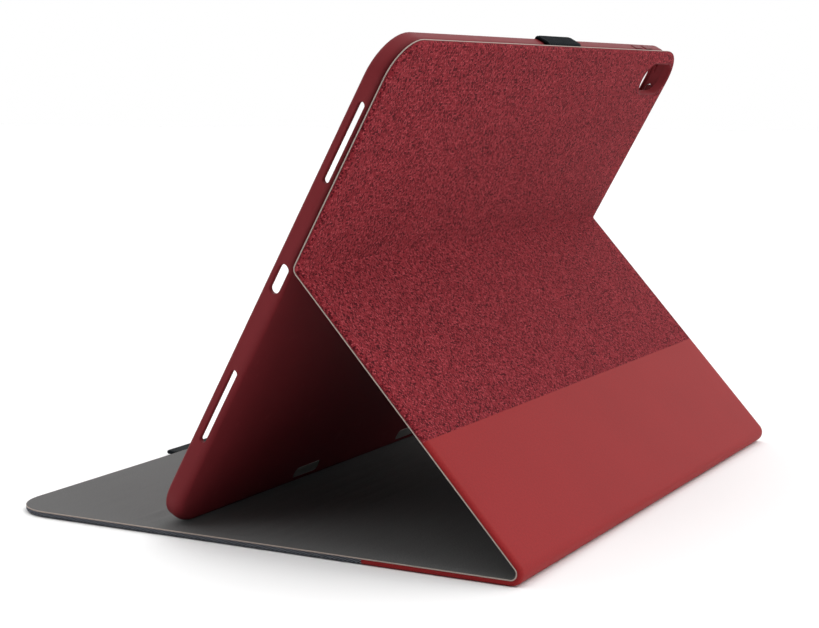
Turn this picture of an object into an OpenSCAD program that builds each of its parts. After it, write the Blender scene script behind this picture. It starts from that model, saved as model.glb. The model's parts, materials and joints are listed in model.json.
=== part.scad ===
// Folding tablet case: a moulded tray for a slim 12.9 inch class tablet, carried by a
// stand flap and a spine that fold out of a flat front cover.
// The model stands in its stand position. X runs along the spine, -Y is the free edge of
// the cover and +Z is up. The origin is under the middle of the whole case, on the table.

/* [Tray] */
// Length of the tray along the spine
tray_w = 285; // [240:0.5:300]
// Height of the tray
tray_h = 219.3; // [180:0.1:230]
// Thickness of the tray, from back face to front rim
tray_t = 7.9; // [6.5:0.1:10]
// Radius of the tray's corners
tray_r = 18; // [12:0.5:22]
// Thickness of the side walls
wall_t = 2.2; // [1.4:0.1:3]
// Thickness of the back
back_t = 1.3; // [1:0.1:2]
// How far the front lip reaches over the tablet
lip_w = 1.5; // [0.5:0.1:2.5]
// Thickness of the front lip
lip_t = 0.7; // [0.5:0.1:1.2]
// Rounding of the outer back edge
back_round = 3.6; // [2:0.1:3.8]
// Rounding of the outer front edge
front_round = 1.5; // [0.5:0.1:2]

/* [Folding cover] */
// Length of the cover, flap and back panel along the spine
cover_w = 285.7; // [241:0.1:301]
// From the spine's bend to the free edge of the cover
cover_l = 233.6; // [200:0.1:250]
// Thickness of the front cover
cover_t = 2.7; // [2.2:0.1:3.5]
// Thickness of the spine, the flap and the back panel
fold_t = 2.3; // [2:0.1:3]
// Radius of the cover's free corners
cover_r = 20; // [8:0.5:24]
// Radius of the back panel's corners
panel_r = 16; // [8:0.5:20]
// Height of the back panel's top edge above the tray's bottom edge
panel_top = 220.2; // [190:0.1:231]
// Height of the crease above the tray's bottom edge
crease_h = 125; // [90:0.5:150]
// Outer radius of the bend between the cover and the spine
bend_r = 4.8; // [3.5:0.1:7]
// Width of the spine strip
spine_w = 10.5; // [8:0.1:14]
// Length of the smooth band on the front cover, from the bend
cover_band_l = 61; // [30:1:90]
// Length of the woven outer layer on the flap, from the crease
flap_weave_l = 80; // [40:1:110]

/* [Layers] */
// Thickness of the woven and smooth outer layers
skin_t = 0.6; // [0.4:0.1:1]
// Width of the turned-in hem along the edges
hem_t = 0.9; // [0.6:0.1:1.5]
// Thickness of the lining
lining_t = 0.5; // [0.3:0.1:0.8]
// Thickness of the adhesive sheet under the back panel
bond_t = 0.3; // [0.1:0.05:0.5]

/* [Stand position] */
// Slope of the tray above the table
tray_slope = 60.6; // [50:0.1:75]
// Slope of the stand flap below level
flap_slope = 48.2; // [40:0.1:60]
// Clearance between the tray and the cover that it stands on
rest_gap = 0.2; // [0.1:0.05:0.5]

/* [Openings] */
// Height of the port's centre above the tray's bottom edge
port_h = 117.2; // [90:0.1:130]
// Length of the port opening
port_l = 12.5; // [10:0.5:16]
// Width of the port opening
port_w = 4.2; // [3:0.1:4.4]
// Distance from the port's centre to each speaker slot's centre
speaker_pitch = 58.5; // [50:0.1:65]
// Length of a speaker slot
speaker_l = 33.6; // [20:0.1:36]
// Width of a speaker slot
speaker_w = 2.8; // [2:0.1:3.5]
// Depth of the port and slots behind the front rim
port_depth = 4.6; // [4:0.1:5]
// Middle of the camera opening, from the middle of the tray
camera_x = -123; // [-126:0.5:-110]
// Height of the camera opening's middle above the tray's bottom edge
camera_h = 205.7; // [200:0.1:207]
// Length of the camera opening
camera_l = 34; // [25:0.5:36]
// Width of the camera opening
camera_w = 17.5; // [12:0.5:18]

/* [Small parts] */
// Middle of the pen loop and of the closing tab, from the middle of the case
strap_x = -2.5; // [-10:0.5:10]
// Width of the pen loop
loop_w = 34; // [20:1:50]
// How far the pen loop stands off the tray's top wall
loop_rise = 1.6; // [1.5:0.1:4]
// Width of the closing tab
tab_w = 48; // [30:1:70]
// How far the closing tab reaches past the cover's free edge
tab_l = 8; // [6:0.5:20]
// Thickness of the closing tab
tab_t = 1.6; // [1.2:0.1:2]
// Middle of the pair of tray magnets, from the middle of the case
magnet_x = -3.2; // [-10:0.1:10]
// Distance between the two tray magnets
magnet_pitch = 93; // [60:1:120]
// Length of a dock magnet
magnet_l = 20; // [10:1:30]
// Width of a dock magnet
magnet_w = 5.6; // [4:0.1:7]
// Number of dock rows in the cover
dock_rows = 9; // [3:1:10]
// Spacing of the dock rows
dock_pitch = 9; // [8:0.5:12]
// Distance from the bend to the first dock row
dock_first = 98; // [80:1:110]
// Length of a button pad
button_l = 10; // [8:0.5:12]
// Width of a button pad
button_w = 3.2; // [2.5:0.1:3.6]
// Distance of the volume pads' middle from the middle of the case
volume_x = -102; // [-112:0.5:-60]
// Distance between the two volume pads
volume_pitch = 13; // [12:0.5:18]
// Height of the power pad's centre above the tray's bottom edge
power_h = 194; // [185:0.5:195]

/* [Hidden] */
$fn = 96;

// Small amounts
fit = 0.1;             // clearance round a piece that lies in a pocket
pad_gap = 0.3;         // clearance round a button pad
pad_rise = 0.35;       // how far a button pad stands off its wall
hinge_gap = 1.2;       // from a fold line to the stiff board on each side of it
eps = 1;               // how far a cutter runs past the face that it cuts

// Places that follow from the sizes above
panel_t = fold_t + bond_t;
flap_l = (cover_t + rest_gap + back_round * (1 - sin(tray_slope) - cos(tray_slope))
          + crease_h * sin(tray_slope) - panel_t * cos(tray_slope)
          - bend_r * (1 + cos(flap_slope))) / sin(flap_slope);
bend_y = (cover_l + tab_l - bend_r) / 2;
bend = [bend_y, bend_r];
flap_foot = bend + bend_r * [sin(flap_slope), cos(flap_slope)];
crease = flap_foot + flap_l * [-cos(flap_slope), sin(flap_slope)];
tray_foot = crease - crease_h * [cos(tray_slope), sin(tray_slope)]
            - panel_t * [sin(tray_slope), -cos(tray_slope)];
speaker_off_h = 8;     // the slots beside the power pad sit this much lower

// ---------- frames: Y runs up the piece and Z points to its inner side ----------

module tray_frame() {
    translate([0, tray_foot[0], tray_foot[1]]) rotate([tray_slope, 0, 0]) children();
}

module flap_frame() {
    translate([0, flap_foot[0], flap_foot[1]]) rotate([180 - flap_slope, 0, 0]) children();
}

module cover_frame() {
    translate([0, bend_y, 0]) mirror([0, 1, 0]) children();
}

// ---------- shapes that repeat ----------

// Rectangle of width w from y0 to y1, with corners of radius r at y1
module leaf(w, y0, y1, r = 0) {
    translate([-w / 2, y0]) square([w, y1 - y0 - r]);
    if (r > 0) {
        translate([r - w / 2, y0]) square([w - 2 * r, y1 - y0]);
        for (side = [-1, 1]) translate([side * (w / 2 - r), y1 - r]) circle(r);
    }
}

// Rectangle with all four corners round
module round_rect(w, h, r) {
    translate([-w / 2, r]) square([w, h - 2 * r]);
    translate([r - w / 2, 0]) square([w - 2 * r, h]);
    for (side = [-1, 1], y = [r, h - r]) translate([side * (w / 2 - r), y]) circle(r);
}

// Bar of length l and width w with round ends, along X
module stadium(l, w) {
    square([l - w, w], center = true);
    for (side = [-1, 1]) translate([side * (l - w) / 2, 0]) circle(w / 2);
}

// Outer layer: a flat sheet whose edges are turned up round the board
module outer_layer(y0, y1, t, r = 0, open_end = false) {
    inner_end = open_end ? y1 + eps : y1 - hem_t;
    difference() {
        linear_extrude(t - lining_t) leaf(cover_w, y0, y1, r);
        translate([0, 0, skin_t]) linear_extrude(t)
            leaf(cover_w - 2 * hem_t, y0 - eps, inner_end, r > 0 ? r - hem_t : 0);
    }
}

module board(y0, y1, t, r = 0) {
    translate([0, 0, skin_t]) linear_extrude(t - skin_t - lining_t)
        leaf(cover_w - 2 * hem_t - 2 * fit, y0, y1, r);
}

module lining(y0, y1, t, r = 0) {
    translate([0, 0, t - lining_t]) linear_extrude(lining_t) leaf(cover_w, y0, y1, r);
}

module camera_opening(z0, z1) {
    translate([camera_x, camera_h, z0]) linear_extrude(z1 - z0) stadium(camera_l, camera_w);
}

// ---------- tray ----------

// Section of the tray's edge, from the lip's inner edge to x = tray_r, its outermost face
module edge_outline() {
    intersection() {
        union() {
            translate([tray_r - back_round, back_round]) circle(back_round);
            translate([tray_r - front_round, tray_t - front_round]) circle(front_round);
            translate([tray_r - back_round, back_round])
                square([back_round, tray_t - back_round - front_round]);
            translate([tray_r - wall_t - lip_w, 0]) square([wall_t + lip_w - back_round, tray_t]);
            translate([tray_r - back_round, back_round])
                square([back_round - front_round, tray_t - back_round]);
        }
        translate([tray_r - wall_t - lip_w, 0]) square([wall_t + lip_w, tray_t]);
    }
}

module edge_section() {
    difference() {
        edge_outline();
        translate([tray_r - wall_t - lip_w - eps, back_t])
            square([lip_w + eps, tray_t - lip_t - back_t]);
    }
}

module edge_run(length) {
    rotate([90, 0, 0]) linear_extrude(length) edge_section();
}

module edge_corner(angle) {
    rotate([0, 0, angle]) rotate_extrude(angle = 90) edge_section();
}

module tray_body() {
    x = tray_w / 2 - tray_r;
    y0 = tray_r;
    y1 = tray_h - tray_r;
    translate([x, y1, 0]) edge_run(y1 - y0);
    translate([-x, y0, 0]) rotate([0, 0, 180]) edge_run(y1 - y0);
    translate([-x, y1, 0]) rotate([0, 0, 90]) edge_run(2 * x);
    translate([x, y0, 0]) rotate([0, 0, -90]) edge_run(2 * x);
    translate([x, y1, 0]) edge_corner(0);
    translate([-x, y1, 0]) edge_corner(90);
    translate([-x, y0, 0]) edge_corner(180);
    translate([x, y0, 0]) edge_corner(270);
    translate([0, wall_t + lip_w / 2, 0]) linear_extrude(back_t)
        round_rect(tray_w - 2 * wall_t - lip_w, tray_h - 2 * wall_t - lip_w,
                   tray_r - wall_t - lip_w / 2);
}

// A bar through the side wall on side +1 or -1, long along the wall
module side_cutter(side, h, l, w, z = tray_t - port_depth) {
    translate([side * tray_w / 2, h, z]) rotate([0, 90, 0]) rotate([0, 0, 90])
        linear_extrude(4 * wall_t, center = true) stadium(l, w);
}

// A bar through the top wall, long along X
module top_cutter(x, l, w, depth, rise) {
    translate([x, tray_h + rise, tray_t / 2]) rotate([90, 0, 0])
        linear_extrude(depth) stadium(l, w);
}

module shell_tray() {
    color("#6b2428") tray_frame() difference() {
        tray_body();
        side_cutter(1, port_h, port_l, port_w);
        for (step = [-1, 1]) side_cutter(1, port_h + step * speaker_pitch, speaker_l, speaker_w);
        for (step = [-1, 1])
            side_cutter(-1, port_h + step * speaker_pitch - speaker_off_h, speaker_l, speaker_w);
        camera_opening(-eps, back_t + eps);
        for (step = [-0.5, 0.5])
            top_cutter(volume_x + step * volume_pitch, button_l + 2 * pad_gap,
                       button_w + 2 * pad_gap, wall_t + 2 * eps, eps);
        side_cutter(-1, power_h, button_l + 2 * pad_gap, button_w + 2 * pad_gap, tray_t / 2);
        for (step = [-0.5, 0.5])
            translate([magnet_x + step * magnet_pitch, back_round + 0.4 + magnet_w / 2, 0])
                cube([magnet_l + 2 * fit, magnet_w + 2 * fit, 2 * back_t + eps], center = true);
    }
}

module tray_magnet(x) {
    color("#8a8a88") tray_frame()
        translate([x - magnet_l / 2, back_round + 0.4, 0]) cube([magnet_l, magnet_w, back_t - fit]);
}

module shell_magnet_port_side() { tray_magnet(magnet_x + magnet_pitch / 2); }
module shell_magnet_camera_side() { tray_magnet(magnet_x - magnet_pitch / 2); }

module pen_loop() {
    band = 1.1;
    color("#20262c") tray_frame()
        translate([strap_x + loop_w / 2, tray_h - tray_r, 0])
            rotate([0, 0, 90]) rotate([90, 0, 0]) mirror([0, 0, 1]) linear_extrude(loop_w)
                difference() {
                    translate([tray_r - back_round, 0.3])
                        square([back_round + loop_rise, tray_t - 0.6]);
                    translate([tray_r - eps, 0.3 + band])
                        square([eps + loop_rise - band, tray_t - 0.6 - 2 * band]);
                    edge_outline();
                }
}

module top_pad(x) {
    color("#5e1f23") tray_frame() top_cutter(x, button_l, button_w, wall_t + pad_rise, pad_rise);
}

module volume_up_button() { top_pad(volume_x + volume_pitch / 2); }
module volume_down_button() { top_pad(volume_x - volume_pitch / 2); }

module power_button() {
    color("#5e1f23") tray_frame()
        translate([-tray_w / 2 - pad_rise, power_h, tray_t / 2]) rotate([0, 90, 0])
            rotate([0, 0, 90]) linear_extrude(wall_t + pad_rise) stadium(button_l, button_w);
}

// ---------- back panel, bonded to the tray ----------

module panel_place() {
    tray_frame() difference() {
        translate([0, 0, -panel_t]) children();
        camera_opening(-panel_t - eps, eps);
    }
}

panel_y0 = crease_h + panel_t;

module panel_bond() {
    color("#c9c2b4") panel_place() translate([0, 0, fold_t]) linear_extrude(bond_t)
        leaf(cover_w - 8, panel_y0 + 3, panel_top - 4, panel_r - 4);
}

module panel_lining() { color("#8c7f7a") panel_place() lining(panel_y0, panel_top, fold_t, panel_r); }
module panel_board() {
    color("#b9a98c") panel_place()
        board(panel_y0, panel_top - hem_t - fit, fold_t, panel_r - hem_t - fit);
}
module panel_skin() { color("#82343a") panel_place() outer_layer(panel_y0, panel_top, fold_t, panel_r); }

// ---------- stand flap ----------

flap_y0 = spine_w + hinge_gap;
flap_y1 = flap_l - panel_t;
weave_y0 = flap_l - flap_weave_l;

module crease_hinge() {
    reach = fold_t - fit;
    color("#7a3036") translate([-cover_w / 2, crease[0], crease[1]]) rotate([0, 90, 0])
        rotate([0, 0, 90]) rotate([0, 0, tray_slope]) linear_extrude(cover_w)
            intersection() {
                circle(reach);
                polygon([[0, 0], [9, 0], [9, 9], [-9, 9], [-9, -9],
                         9 * [cos(tray_slope + flap_slope), -sin(tray_slope + flap_slope)]]);
            }
}

module flap_lining() { color("#6a6765") flap_frame() lining(flap_y0, flap_y1, fold_t); }
module flap_board() { color("#b9a98c") flap_frame() board(flap_y0, flap_y1, fold_t); }
module flap_skin() { color("#82343a") flap_frame() outer_layer(weave_y0, flap_y1, fold_t, 0, true); }
module flap_band() { color("#9c383c") flap_frame() outer_layer(flap_y0, weave_y0, fold_t, 0, true); }

// ---------- spine ----------

module flap_hinge() {
    color("#9c383c") flap_frame() translate([0, 0, fit]) linear_extrude(fold_t - 2 * fit)
        leaf(cover_w, spine_w - hinge_gap + fit, spine_w + hinge_gap - fit);
}

module spine_lining() { color("#6a6765") flap_frame() lining(0, spine_w - hinge_gap, fold_t); }
module spine_board() { color("#b9a98c") flap_frame() board(0, spine_w - hinge_gap, fold_t); }
module spine_band() {
    color("#9c383c") flap_frame() outer_layer(0, spine_w - hinge_gap, fold_t, 0, true);
}

module bend_hinge() {
    color("#9c383c") translate([cover_w / 2, bend[0], bend[1]]) rotate([0, -90, 0])
        linear_extrude(cover_w) difference() {
            intersection() {
                circle(bend_r);
                polygon([[0, 0], [-9, 0], [-9, 9], [9, 9],
                         9 * [cos(flap_slope), sin(flap_slope)]]);
            }
            circle(bend_r - fold_t);
        }
}

// ---------- front cover ----------

function dock_y(row) = dock_first + row * dock_pitch;

module dock_slots(x, grow) {
    for (row = [0 : dock_rows - 1])
        translate([x - magnet_l / 2 - grow, dock_y(row) - magnet_w / 2 - grow, skin_t - grow])
            cube([magnet_l + 2 * grow, magnet_w + 2 * grow,
                  cover_t - skin_t - lining_t + (grow > 0 ? 4 : 0)]);
}

wake_x = cover_w / 2 - 24;
wake_r = 4;

module wake_discs(r, h) {
    for (y = [cover_l * 0.36, cover_l * 0.62])
        translate([wake_x, y, skin_t]) cylinder(h = h, r = r);
}

module cover_lining() { color("#6a6765") cover_frame() lining(0, cover_l, cover_t, cover_r); }

module cover_board() {
    color("#b9a98c") cover_frame() difference() {
        board(hinge_gap, cover_l - hem_t - fit, cover_t, cover_r - hem_t - fit);
        for (step = [-0.5, 0.5]) dock_slots(magnet_x + step * magnet_pitch, fit);
        wake_discs(wake_r + fit, cover_t);
    }
}

module cover_skin() { color("#2b2f38") cover_frame() outer_layer(cover_band_l, cover_l, cover_t, cover_r); }
module cover_band() { color("#9c383c") cover_frame() outer_layer(0, cover_band_l, cover_t, 0, true); }

module dock_magnets_port_side() {
    color("#8a8a88") cover_frame() dock_slots(magnet_x + magnet_pitch / 2, 0);
}
module dock_magnets_camera_side() {
    color("#8a8a88") cover_frame() dock_slots(magnet_x - magnet_pitch / 2, 0);
}
module wake_magnets() {
    color("#8a8a88") cover_frame() wake_discs(wake_r, cover_t - skin_t - lining_t);
}

// ---------- closing tab ----------

tab_gap = 0.4;
tab_z = cover_t - 0.2 - tab_t;
tab_magnet_l = tab_w - 14;
tab_magnet_w = tab_l - 3.6;
tab_magnet_t = tab_t - 0.8;

module tab_magnet_bar(grow) {
    translate([strap_x - tab_magnet_l / 2 - grow, cover_l + 2 - grow, tab_z + 0.4 - grow])
        cube([tab_magnet_l + 2 * grow, tab_magnet_w + 2 * grow, tab_magnet_t + 2 * grow]);
}

module tab_strap() {
    color("#20262c") cover_frame() difference() {
        translate([strap_x, 0, tab_z]) linear_extrude(tab_t)
            leaf(tab_w, cover_l + tab_gap, cover_l + tab_l, 2);
        tab_magnet_bar(0.05);
    }
}
module tab_magnet() { color("#8a8a88") cover_frame() tab_magnet_bar(0); }

shell_tray();
shell_magnet_port_side();
shell_magnet_camera_side();
panel_bond();
panel_lining();
panel_board();
panel_skin();
pen_loop();
volume_up_button();
volume_down_button();
power_button();
crease_hinge();
flap_lining();
flap_board();
flap_skin();
flap_band();
flap_hinge();
spine_lining();
spine_board();
spine_band();
bend_hinge();
cover_lining();
cover_board();
cover_skin();
cover_band();
dock_magnets_port_side();
dock_magnets_camera_side();
wake_magnets();
tab_strap();
tab_magnet();
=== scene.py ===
"""Folding tablet case: cloth, lining, moulded tray and straps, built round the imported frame."""

import json
import math

import bmesh
import bpy
import numpy as np
from bpy.props import FloatProperty, FloatVectorProperty, IntProperty, PointerProperty
from bpy.types import Operator, Panel, PropertyGroup
from mathutils import Matrix, Vector


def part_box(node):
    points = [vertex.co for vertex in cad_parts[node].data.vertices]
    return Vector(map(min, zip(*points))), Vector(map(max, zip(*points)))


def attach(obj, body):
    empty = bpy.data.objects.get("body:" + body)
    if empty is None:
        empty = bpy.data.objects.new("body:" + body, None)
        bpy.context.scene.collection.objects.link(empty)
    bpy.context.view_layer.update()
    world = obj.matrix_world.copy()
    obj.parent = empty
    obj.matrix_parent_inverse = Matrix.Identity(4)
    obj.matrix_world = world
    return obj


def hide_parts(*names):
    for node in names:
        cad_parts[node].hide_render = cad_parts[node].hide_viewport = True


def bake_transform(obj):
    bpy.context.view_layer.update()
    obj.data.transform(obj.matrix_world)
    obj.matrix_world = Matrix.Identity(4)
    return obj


bl_info = {
    "name": "Folding tablet case",
    "version": (1, 0, 0),
    "blender": (4, 5, 0),
    "location": "View3D > Sidebar > Tablet case",
    "description": "Builds the layers, tray and straps of a folding tablet case on its frame",
    "category": "Object",
}

MM = 0.001
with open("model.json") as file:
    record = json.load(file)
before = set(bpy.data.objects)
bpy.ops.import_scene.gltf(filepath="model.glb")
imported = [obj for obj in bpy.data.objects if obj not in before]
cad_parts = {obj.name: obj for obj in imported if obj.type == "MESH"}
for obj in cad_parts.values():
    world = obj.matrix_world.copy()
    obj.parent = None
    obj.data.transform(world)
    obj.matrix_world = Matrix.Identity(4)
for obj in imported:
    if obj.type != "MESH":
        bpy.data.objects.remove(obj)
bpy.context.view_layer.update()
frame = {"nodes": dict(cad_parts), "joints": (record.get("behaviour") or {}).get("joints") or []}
JOINTS = {joint["name"]: joint for joint in frame["joints"]}
ACROSS = Vector((1, 0, 0))
QUARTER = math.pi / 2
FINISHES = {}


# ---------- sizes and colours that a user would change ----------


def length(name, description, millimetres):
    return FloatProperty(
        name=name, description=description, default=millimetres * MM, unit="LENGTH", precision=5
    )


def angle(name, description, degrees):
    return FloatProperty(
        name=name, description=description, default=math.radians(degrees), subtype="ANGLE"
    )


def colour(name, description, rgb):
    return FloatVectorProperty(
        name=name, description=description, default=rgb, size=3, min=0, max=1, subtype="COLOR"
    )


def position(name, description, metres):
    return FloatVectorProperty(
        name=name, description=description, default=metres, size=3, subtype="TRANSLATION",
        unit="LENGTH",
    )


def number(name, description, default):
    return FloatProperty(name=name, description=description, default=default)


class CaseLayers(PropertyGroup):
    """Sizes of the cover's sheets."""

    skin: length("Outer layer", "Thickness of the woven and smooth outer layers", 0.6)
    hem: length("Hem", "Thickness of the outer layer where it is turned up round the board", 0.9)
    hem_roll: length("Hem roll", "Rounding of the turned-up hem beside the lining", 0.28)
    shoulder_in: length("Shoulder width", "How far in from its edge the outer face falls", 2.2)
    shoulder_up: length("Shoulder height", "How far the outer face falls at its edge", 1.2)
    lining: length("Lining", "Thickness of the lining", 0.5)
    lining_inset: length("Lining inset", "How far the lining stays in from the edge", -0.05)
    cut_edge: length("Cut edge", "Width of the pale cut edge on the lining's faces", 0.16)
    cover_corner: length("Cover corner", "Radius of the cover's free corners", 20)
    panel_corner: length("Panel corner", "Radius of the back panel's top corners", 16)
    crease: length("Crease", "Radius of the outer face in the crease", 0.8)
    seam: length("Seam", "Gap where two outer layers meet", 0.06)
    ridge_width: length("Dock ridge width", "Width of a dock ridge on the lining", 6.4)
    ridge_height: length("Dock ridge height", "Height of a dock ridge on the lining", 0.16)
    dock_rows: IntProperty(name="Dock rows", description="Number of dock ridges", default=9, min=1)


class CaseTray(PropertyGroup):
    """Sizes of the moulded tray and its small parts."""

    corner: length("Tray corner", "Radius of the tray's corners", 18)
    wall: length("Wall", "Thickness of the side walls", 2.2)
    back: length("Back", "Thickness of the back", 1.3)
    lip: length("Lip", "How far the front lip reaches over the tablet", 1.5)
    lip_thickness: length("Lip thickness", "Thickness of the front lip", 0.7)
    back_round: length("Back rounding", "Rounding of the outer back edge", 3.6)
    front_round: length("Front rounding", "Rounding of the outer front edge", 1.5)
    flare: length("Rim flare", "Rounding of the rims of the slots and the port", 0.45)
    port_height: length("Port height", "Height of the port above the tray's bottom edge", 117.2)
    port_length: length("Port length", "Length of the port", 12.5)
    port_width: length("Port width", "Width of the port", 4.2)
    slot_pitch: length("Slot distance", "From the port's middle to a speaker slot's middle", 58.5)
    slot_length: length("Slot length", "Length of a speaker slot", 33.6)
    slot_width: length("Slot width", "Width of a speaker slot", 2.8)
    slot_drop: length("Slot drop", "How much lower the slots beside the power pad sit", 8)
    slot_depth: length("Slot depth", "Depth of the port and slots behind the front rim", 4.6)
    camera_across: length("Camera place", "Middle of the camera opening along the tray", -123)
    camera_up: length("Camera height", "Height of the camera opening's middle", 205.7)
    camera_length: length("Camera length", "Length of the camera opening", 34)
    camera_width: length("Camera width", "Width of the camera opening", 17.5)
    collar: length("Camera collar", "Wall of the collar in the camera opening", 0.6)
    pad_gap: length("Pad gap", "Gap round a button pad", 0.3)
    rib_pitch: length("Rib pitch", "Spacing of the ribs in the elastic of the pen loop", 1.7)


class CaseColours(PropertyGroup):
    """Base colours of the finishes, linear."""

    weave: colour("Woven back", "Main yarn of the woven back", (0.262, 0.0235, 0.0325))
    weave_light: colour("Light yarn", "Lighter yarn of the woven back", (0.50, 0.080, 0.096))
    weave_dark: colour("Dark yarn", "Darker yarn of the woven back", (0.080, 0.007, 0.011))
    band: colour("Smooth band", "Smooth coated band", (0.270, 0.0190, 0.0205))
    cover: colour("Cover yarn", "Main yarn of the front cover", (0.022, 0.027, 0.040))
    cover_light: colour("Cover fleck", "Light fleck of the front cover", (0.23, 0.24, 0.27))
    lining: colour("Lining", "Brushed lining", (0.108, 0.108, 0.107))
    cut_edge: colour("Cut edge", "Cut edge of the lining", (0.43, 0.355, 0.315))
    tray: colour("Tray", "Moulded tray", (0.170, 0.0190, 0.0236))
    strap: colour("Straps", "Pen loop and closing tab", (0.0065, 0.009, 0.0115))
    board: colour("Board", "Fibre board", (0.42, 0.33, 0.22))
    metal: colour("Magnets", "Dull plating", (0.30, 0.29, 0.28))
    adhesive: colour("Adhesive", "Adhesive film", (0.55, 0.50, 0.42))
    floor: colour("Floor", "Studio floor", (0.99, 0.99, 0.99))


class CaseStage(PropertyGroup):
    """Camera and lights."""

    camera: position("Camera", "Place of the camera", (0.67234, 0.36819, 0.17548))
    pan: angle("Pan", "Heading of the view, clockwise from +Y", 241.32)
    tilt: angle("Tilt", "How far the view looks down", 7.55)
    roll: angle("Roll", "Roll of the camera", -0.32)
    lens: number("Lens", "Focal length in millimetres", 74.62)
    world: number("World light", "Strength of the white world", 1.52)
    shade: number("Shade", "Strength of the world on the port side", 0.02)
    shade_from: number("Shade start", "Sideways direction where the shade starts", -0.15)
    shade_to: number("Shade end", "Sideways direction where the shade is full", 0.85)
    aim: position("Aim", "Point that both softboxes face", (0, 0, 0.08))
    key: number("Key light", "Power of the key softbox in watts", 4.4)
    key_place: position("Key place", "Place of the key softbox", (0.1, 1.2, 1.4))
    key_size: length("Key size", "Side of the key softbox", 1200)
    fill: number("Fill light", "Power of the fill softbox in watts", 2.2)
    fill_place: position("Fill place", "Place of the fill softbox", (0.75, -0.25, 0.9))
    fill_size: length("Fill size", "Side of the fill softbox", 600)
    floor: length("Floor", "Side of the floor", 12000)


# ---------- where things are ----------


def span(node, direction):
    """Lowest and highest reach of a frame node along a direction."""
    co = np.array([v.co for v in frame["nodes"][node].data.vertices])
    reach = co @ np.array(direction)
    return float(reach.min()), float(reach.max())


class Place:
    """Flat face: x runs across it, s up it and h off it."""

    def __init__(self, origin, up, out, across=ACROSS):
        self.origin, self.up, self.out, self.across = origin, up, out, across

    def thickness(self, s):
        return 0.0

    def point(self, x, s, h):
        return self.origin + self.across * x + self.up * s + self.out * h


class Track:
    """Line of straights and arcs in the YZ plane; h is measured off it towards the inner side."""

    def __init__(self, start, heading, moves, thickness=None):
        self.parts, self.ends = [], [0.0]
        self.layer = thickness
        point, turn = np.array(start, float), heading
        for kind, amount, radius in moves:
            self.parts.append((kind, point, turn, radius))
            if kind == "line":
                point = point + amount * np.array([math.cos(turn), math.sin(turn)])
                run = amount
            else:
                centre = point + radius * math.copysign(1, amount) * self.left(turn)
                turn += amount
                point = centre - radius * math.copysign(1, amount) * self.left(turn)
                run = abs(amount) * radius
            self.ends.append(self.ends[-1] + run)
        self.length = self.ends[-1]

    @staticmethod
    def left(turn):
        return np.array([-math.sin(turn), math.cos(turn)])

    def thickness(self, s):
        if self.layer is None:
            return 0.0
        (s0, t0), (s1, t1) = self.layer
        return t0 + (t1 - t0) * min(max((s - s0) / (s1 - s0), 0), 1)

    def frame_at(self, s):
        i = min(max(np.searchsorted(self.ends, s, side="right") - 1, 0), len(self.parts) - 1)
        kind, point, turn, radius = self.parts[i]
        run = s - self.ends[i]
        if kind == "line":
            return point + run * np.array([math.cos(turn), math.sin(turn)]), self.left(turn)
        way = 1 if kind == "arc in" else -1
        centre = point + radius * way * self.left(turn)
        turn += way * run / radius
        return centre - radius * way * self.left(turn), self.left(turn)

    def point(self, x, s, h):
        point, inner = self.frame_at(s)
        y, z = point + h * inner
        return Vector((x, y, z))

    def stations(self, s0, s1, marks):
        """Distances from s0 to s1, closer together in the arcs and near the marks."""
        step, fine, near, arc_rows = 10 * MM, 1 * MM, 7 * MM, 24
        found = set(np.linspace(s0, s1, max(2, round((s1 - s0) / step) + 1)))
        for (kind, *_), a, b in zip(self.parts, self.ends, self.ends[1:]):
            if kind != "line":
                found |= set(np.linspace(a, b, arc_rows + 1))
        for mark in marks:
            found |= set(np.arange(mark - near, mark + near, fine))
        kept = [s0]
        for s in sorted(found):
            if kept[-1] + fine / 3 < s < s1 - fine / 3:
                kept.append(float(s))
        return kept[1:]


class LoopTrack(Track):
    """Track in the tray's own section: first along the tray's height, then its thickness."""

    def __init__(self, at, low, start, moves):
        super().__init__((low, start), QUARTER, moves)
        self.at = at

    def point(self, x, s, h):
        point, left = self.frame_at(s)
        out, up = point - h * left
        return self.at.out * out + self.at.up * up + ACROSS * x


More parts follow.
